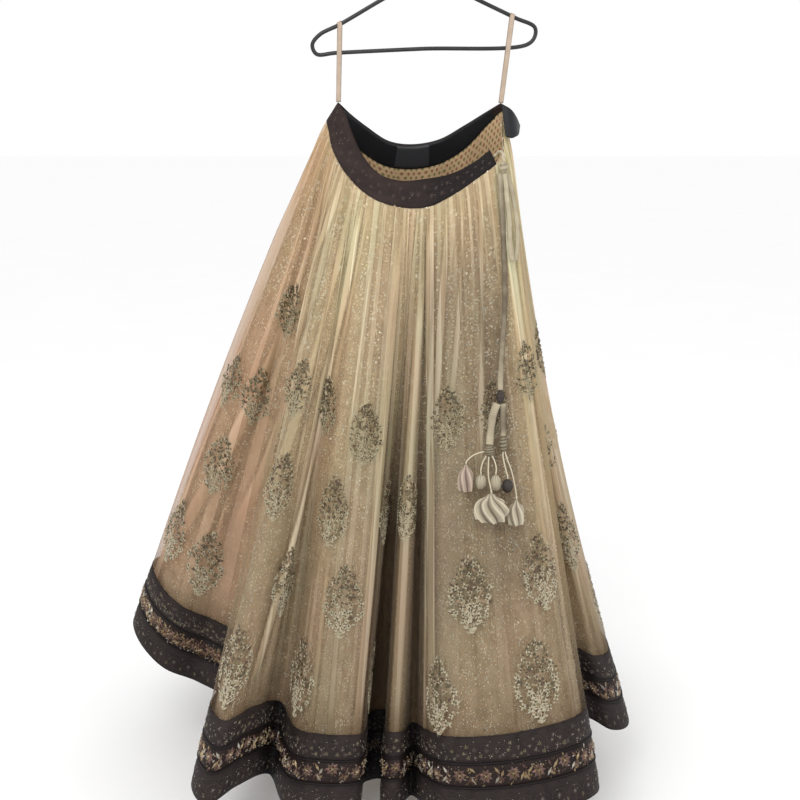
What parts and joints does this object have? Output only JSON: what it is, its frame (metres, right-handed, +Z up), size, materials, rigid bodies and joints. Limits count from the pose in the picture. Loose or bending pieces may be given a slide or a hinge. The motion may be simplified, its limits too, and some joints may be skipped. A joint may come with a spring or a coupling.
{
  "type": "lehenga skirt on a hanger",
  "caption": "Flared lehenga skirt in gathered net over a lined underskirt, with dark waistband, patterned hem border and tasselled drawstring, hung by ribbon loops on a hanger.",
  "frame": {"origin": "inner top of the hanger's hook, where a rail carries it", "axes": "+Z up, -Y towards the front of the skirt, +X to the viewer's right, along the hanger"},
  "size_m": [0.9827, 0.8777, 1.4975],
  "materials": {
    "net": "sheer beige net with woven sprigs",
    "underskirt": "sequinned beige cloth, block-printed inside",
    "waistband": "dark brown cloth with tonal embroidery",
    "border": "dark brown cloth with tonal embroidery",
    "floral_border": "dense copper and gold flower embroidery",
    "facing": "black lining",
    "label": "bare dark tape",
    "ribbon": "beige satin ribbon",
    "drawstring": "flat sewn cloth tube",
    "tassel": "ivory cloth",
    "tassel_pink": "dusty pink cloth",
    "hanger": "black satin"
  },
  "bodies": {
    "root": {"net_front": "net", "net_back": "net", "underskirt": "underskirt", "border_upper": "border", "border_floral": "floral_border", "border_lower": "border", "waistband_front": "waistband", "waistband_back": "waistband", "waistband_turned_end": "facing", "facing_back": "facing", "label": "label", "hanger_frame": "hanger", "hanger_hook": "hanger", "loop_left": "ribbon", "loop_right": "ribbon", "dori_neck": "drawstring", "dori_knot": "drawstring", "dori_bow": "drawstring", "dori_tail": "drawstring", "dori_knot_low": "waistband", "dori_left": "drawstring", "dori_right": "drawstring", "wrap_left": "tassel", "wrap_right": "tassel", "string_bud": "tassel", "string_bead_left": "tassel", "string_bead_right": "tassel", "string_bead_dark": "tassel", "string_tassel_main": "tassel", "string_tassel_right": "tassel", "bud_pink": "tassel_pink", "bead_left": "tassel", "bead_right": "tassel", "bead_dark": "waistband", "tassel_main": "tassel", "tassel_right": "tassel"}
  },
  "joints": []
}
